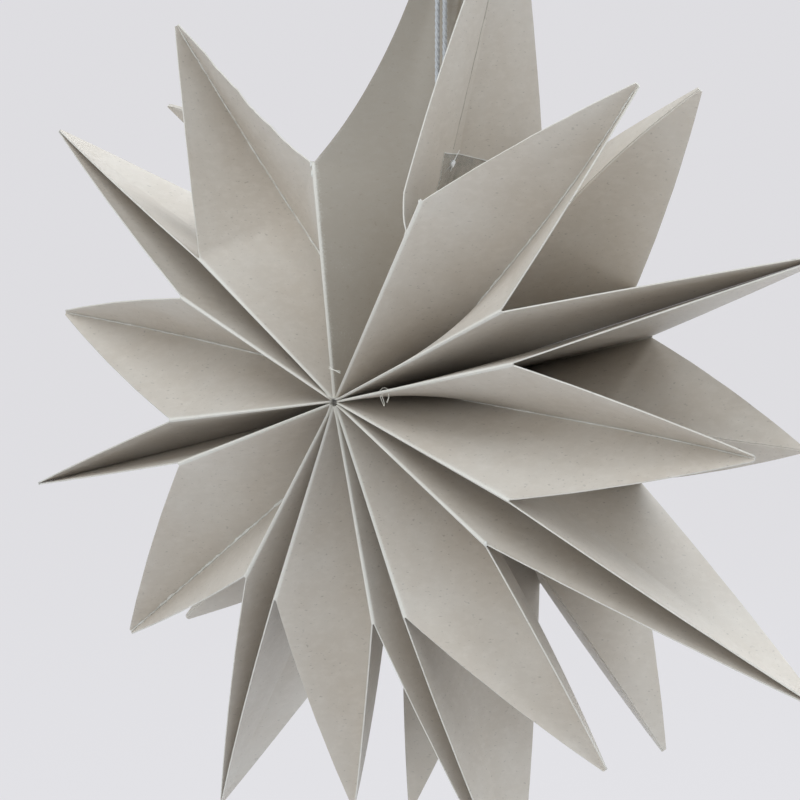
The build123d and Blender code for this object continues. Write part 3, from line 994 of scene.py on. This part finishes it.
# how far up and how deep the two long hairs reach, in millimetres
LONG_HAIRS = ((4.0, 2.0), (-3.6, -4.4))
KNOT_CORD = 0.40 * MM
TAIL_PITCH = 4.0 * MM
stop = on_panel(np.array(STOP_HEIGHT), np.array(STOP_ACROSS), np.array(KNOT_RISE)) - AXIS
hairs = []
for number in range(HAIR_COUNT):
    angle = number / HAIR_COUNT * 2 * math.pi + 0.4
    heading = PANEL_UP * math.sin(angle) + DEPTH * math.cos(angle) * 0.9
    length = (HAIR_LENGTH + HAIR_VARIES * math.sin(number * 2.3)) * MM
    run = np.linspace(0, length, 8)[:, None]
    lifted = stop + heading * run + INTO_BAG * (0.25 * MM - run * 0.08)
    hairs.append(tube(lifted, np.linspace(0.22, 0.05, 8) * MM, 6))
for up, deep in LONG_HAIRS:
    run = np.linspace(0, 1, 12)[:, None]
    bend = np.sin(run * math.pi) * 0.3 * MM
    far_hair = stop + PANEL_UP * (run * up * MM + bend) + DEPTH * (run * deep * MM)
    hairs.append(tube(far_hair + INTO_BAG * 0.15 * MM, np.linspace(0.16, 0.07, 12) * MM, 6))
turns = trefoil((0, 0, 0), 0.26 * MM, 0.12 * MM)
knot_line = stop + turns[:, :1] * PANEL_UP + turns[:, 1:2] * DEPTH + turns[:, 2:] * INTO_BAG
hairs.append(tube(knot_line, KNOT_CORD, 7))
stop_points, stop_faces = joined(hairs)
stop_knot = new_object("frayed_stop_knot", stop_points + AXIS, stop_faces)
run = np.linspace(0, 1, 10)[:, None]
tail_line = LOWER_KNOT * (1 - run) + (stop + AXIS) * run
tail = new_object("cord_tail_plies", *plied(tail_line, CORD_DIAMETER * 0.8, TAIL_PITCH))
print("the stop knot has", len(stop_knot.data.polygons), "faces")

# %% Frayed finish, and the cord's last pieces attached
FRAYED_DARK = (0.72, 0.71, 0.69, 1.0)
FRAYED_PALE = (0.92, 0.91, 0.89, 1.0)
frayed = two_tone("frayed_cord", (1500.0,), FRAYED_DARK, FRAYED_PALE, 0.7)
for piece, node, finish in ((stop_knot, "cord_end_knot", frayed), (tail, "cord_tail", cord_material)):
    piece.data.materials.append(finish)
    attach(piece, "root")
    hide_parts(node)
print("the cord ends on the object")


# %% [markdown]
# ## A scored line
# A thin line that was scored into the first bag's left panel runs up from the tape. It is a
# fine raised hair of darker board that comes and goes.

# %% Scored line
SCORE = (0.42, 0.38, 0.32, 1.0)
SCORE_DARK = (0.36, 0.32, 0.26, 1.0)
SCORE_PALE = (0.49, 0.44, 0.38, 1.0)
# in millimetres: where the line starts, how far up it runs and how far it leans
SCORE_START, SCORE_RISE = 74.4, 58.0
SCORE_ACROSS, SCORE_LEAN = -6.6, 5.9
SCORE_POINTS = 120
run = np.linspace(0, 1, SCORE_POINTS)
aside = SCORE_ACROSS + SCORE_LEAN * (1 - (1 - run) ** 1.8) + 0.1 * np.sin(run * 40)
line = on_panel((SCORE_START + SCORE_RISE * run) * MM, aside * MM, np.zeros(SCORE_POINTS))
scored = new_object("scored_line", *tube(line, (0.08 + 0.12 * ragged(SCORE_POINTS, 3)) * MM, 6))
scored.data.materials.append(paper("scored_line", SCORE, SCORE_DARK, SCORE_PALE, PAPER))
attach(scored, "root")
print("the scored line has", len(scored.data.polygons), "faces")


# %% [markdown]
# ## Threads
# A dark thread through the core holds the stack, and only its small knots show. A pale
# loop of thread stands out of the right side, and a stitch crosses two folds above the
# centre. They are thin tubes on short formulas, since each is only a few pixels wide.

# %% Core thread
CORE_THREAD = 0.35 * MM
CORE_KNOT = 0.28 * MM
THREAD_DARK = (0.035, 0.03, 0.025, 1.0)
THREAD_BROWN = (0.16, 0.14, 0.11, 1.0)
STRANDS = (2500.0, 2.0, 0.6)
knots = [tube(np.outer(np.linspace(-BAG_WIDTH / 2, BAG_WIDTH / 2, 40), DEPTH) + AXIS, CORE_THREAD, 8)]
for face in (FRONT, BACK):
    centre = AXIS + DEPTH * (face * (BAG_WIDTH / 2 - 0.4 * MM))
    turns = trefoil((0, 0, 0), 0.2 * MM, 0.2 * MM, face)[:, [0, 2, 1]]
    knots.append(tube(turns + centre, CORE_KNOT, 7))
core_thread = new_object("core_thread", *joined(knots))
dark_thread = two_tone("dark_thread", STRANDS, THREAD_DARK, THREAD_BROWN, 0.8, tooth=(0.0001, 0.5))
core_thread.data.materials.append(dark_thread)
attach(core_thread, "root")
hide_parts("centre_tie")
print("the core thread has", len(core_thread.data.polygons), "faces")

# %% Pale loop and stitch
THREAD_CREAM = (0.52, 0.48, 0.38, 1.0)
THREAD_PALE = (0.80, 0.77, 0.68, 1.0)
# in millimetres from the axis
LOOP_CENTRE, LOOP_WIDE, LOOP_HIGH, LOOP_THREAD = (15.6, -32.0, 2.4), 1.4, 2.7, 0.10
STITCH_START, STITCH_LONG, STITCH_APART, STITCH_THREAD = (-1.5, -35.75, 9.7), 4.2, 0.55, 0.09
pale_lines = []
t = np.linspace(-0.5, 4.4, 50)
for turn, size in ((0.0, 1.0), (0.5, 0.72)):
    x = LOOP_CENTRE[0] + LOOP_WIDE * np.cos(t) * size + 0.5 * turn
    y = LOOP_CENTRE[1] + 0.6 * np.sin(2 * t + turn)
    z = LOOP_CENTRE[2] + LOOP_HIGH * np.sin(t) * size - turn
    pale_lines.append((np.column_stack([x, y, z]), LOOP_THREAD))
t = np.linspace(0, 1, 30)
for rise in (0.0, STITCH_APART):
    x = STITCH_START[0] + STITCH_LONG * t
    y = STITCH_START[1] - 0.25 * np.sin(math.pi * t)
    z = STITCH_START[2] - 0.5 * t + rise * (1 - 2 * t)
    pale_lines.append((np.column_stack([x, y, z]), STITCH_THREAD))
pale_parts = [tube(line * MM + AXIS, radius * MM, 6) for line, radius in pale_lines]
pale_thread_piece = new_object("pale_thread", *joined(pale_parts))
pale_thread = two_tone("pale_thread", STRANDS, THREAD_CREAM, THREAD_PALE, 0.75)
pale_thread_piece.data.materials.append(pale_thread)
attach(pale_thread_piece, "root")
print("the pale thread has", len(pale_thread_piece.data.polygons), "faces")


# %% [markdown]
# ## Glue
# Dried glue sits as pale lumps at a few corners of the mouths. Each is a ball whose radius
# is moved by sines, pressed to three half sizes. Small as they are, they tell how the star
# is made.

# %% Glue
def crumb(centre, size, seed):
    """A lump of dried glue: a ball whose radius is moved by sines of its two angles."""
    u, v = np.meshgrid(np.linspace(0, 2 * math.pi, 21)[:-1], np.linspace(0, math.pi, 13)[1:-1])
    radius = 1 + 0.25 * np.sin(3 * u + seed) * np.sin(v) + 0.2 * np.sin(5 * v + 2 * u + seed)
    ball = np.stack([np.cos(u) * np.sin(v), np.sin(u) * np.sin(v), np.cos(v)], axis=-1)
    points, faces = capped(ball * radius[..., None], [[0, 0, 1.0]], [[0, 0, -1.0]])
    return (points * np.array(size) + np.array(centre)) * MM, faces


# the bag, the line of its mouth, the share of the way down its fold, the lump's half sizes and its seed
GLUE = [
    (6, 5, 0.995, (0.55, 0.45, 0.9), 0.4), (6, 5, 0.955, (0.4, 0.4, 1.0), 1.7),
    (0, 1, 0.985, (0.22, 0.2, 0.6), 2.2), (2, 1, 0.99, (0.45, 0.4, 0.7), 3.0),
]
lumps_of_glue = []
for number, line, down, size, seed in GLUE:
    starts, mouth, _ = bag_lines(number)
    corner = starts[line] * (1 - down) + mouth[line] * down - DEPTH * (BOARD / 2)
    lumps_of_glue.append(crumb((corner + AXIS) / MM, size, seed))
glue = new_object("dried_glue", *joined(lumps_of_glue))
glue.data.materials.append(fibre_material)
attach(glue, "root")
print("the glue has", len(GLUE), "lumps")


# %% [markdown]
# ## The floor and the light
# The star hangs high over a pale floor that fills the picture behind it. The camera sees
# mostly the floor's own paleness, with a little of its real shade, so the object isn't
# overlit. Large soft lamps and an even sky give the paper its soft shading.

# %% Floor
FLOOR_DROP = 0.42
FLOOR_RADIUS = 400.0
FLOOR_COLOUR = (0.72, 0.72, 0.74, 1.0)
BACKGROUND = (0.765, 0.758, 0.785, 1.0)
# how much of the background's own paleness the camera sees on the floor
PALENESS = 0.93


def round_floor(radius, drop):
    """A flat disc under the star, rings closer together near its middle."""
    u, v = np.meshgrid(np.linspace(0, 2 * math.pi, 65)[:-1], np.linspace(0.06, 1, 40) ** 4)
    points = np.stack([np.cos(u) * v * radius, np.sin(u) * v * radius, np.full(u.shape, -drop)], axis=-1)
    numbers = np.arange(u.size).reshape(u.shape)
    faces = grid_faces(closed_round(numbers))[:, ::-1].tolist() + [numbers[0].tolist()]
    return points.reshape(-1, 3) + AXIS, faces


floor = new_object("floor", *round_floor(FLOOR_RADIUS, FLOOR_DROP), smooth=False)
floor_material, shader, place = new_material("floor")
shader.inputs["Base Color"].default_value = FLOOR_COLOUR
shader.inputs["Roughness"].default_value = 0.9
glow = place.node("ShaderNodeEmission", None, {"Color": BACKGROUND, "Strength": 1.0})
seen = Shade(place.tree, place.node("ShaderNodeLightPath").outputs["Is Camera Ray"])
shaded, pale = (Shade(place.tree, node.outputs[0]) for node in (shader, glow))
blend = place.node("ShaderNodeMixShader", None, {0: seen * PALENESS, 1: shaded, 2: pale})
place.tree.links.new(blend.outputs[0], place.tree.nodes["Material Output"].inputs["Surface"])
floor.data.materials.append(floor_material)
print("the floor has", len(floor.data.polygons), "faces")

# %% Sky
SKY = (0.84, 0.91, 0.99, 1.0)
SKY_STRENGTH = 0.45
world = bpy.data.worlds.new("studio")
bpy.context.scene.world = world
world.use_nodes = True
tree = world.node_tree
sky = tree.nodes["Background"]
sky.inputs["Color"].default_value = SKY
sky.inputs["Strength"].default_value = SKY_STRENGTH
seen = Shade(tree, tree.nodes.new("ShaderNodeLightPath").outputs["Is Camera Ray"])
far_wall = seen.node("ShaderNodeBackground", None, {"Color": BACKGROUND, "Strength": 1.0})
lit, pale = (Shade(tree, node.outputs[0]) for node in (sky, far_wall))
switch = seen.node("ShaderNodeMixShader", None, {0: seen, 1: lit, 2: pale})
tree.links.new(switch.outputs[0], tree.nodes["World Output"].inputs["Surface"])
print("the sky's strength is", SKY_STRENGTH)


# %% Lamps
DAYLIGHT = (0.96, 1.04, 1.14)
LAMP_DISTANCE = 1.6
LAMP_SIZE = 1.2
# the direction that each lamp stands in, and its power in watts
LAMPS = [
    ("right_side", (1.0, 0.15, 0.25), 9.0),
    ("front", (0.0, -1.0, 0.15), 9.5),
    ("top_front", (-0.10, -0.6, 1.0), 15.0),
    ("top_back", (0.0, 0.7, 1.0), 18.0),
    ("behind", (0.2, 1.0, 0.4), 6.5),
]


def soft_lamp(name, towards, power):
    """A square area lamp that stands in a direction from the star and looks back at it."""
    data = bpy.data.lights.new(name, "AREA")
    data.shape = "SQUARE"
    data.size = LAMP_SIZE
    data.energy = power
    data.color = DAYLIGHT
    lamp = bpy.data.objects.new(name, data)
    bpy.context.scene.collection.objects.link(lamp)
    heading = unit(np.array(towards, dtype=float))
    lamp.location = AXIS + heading * LAMP_DISTANCE
    lamp.rotation_euler = (0.0, math.acos(heading[2]), math.atan2(heading[1], heading[0]))


for lamp in LAMPS:
    soft_lamp(*lamp)
print(len(LAMPS), "lamps")


# %% Finish
bpy.context.scene.view_settings.view_transform = "Standard"
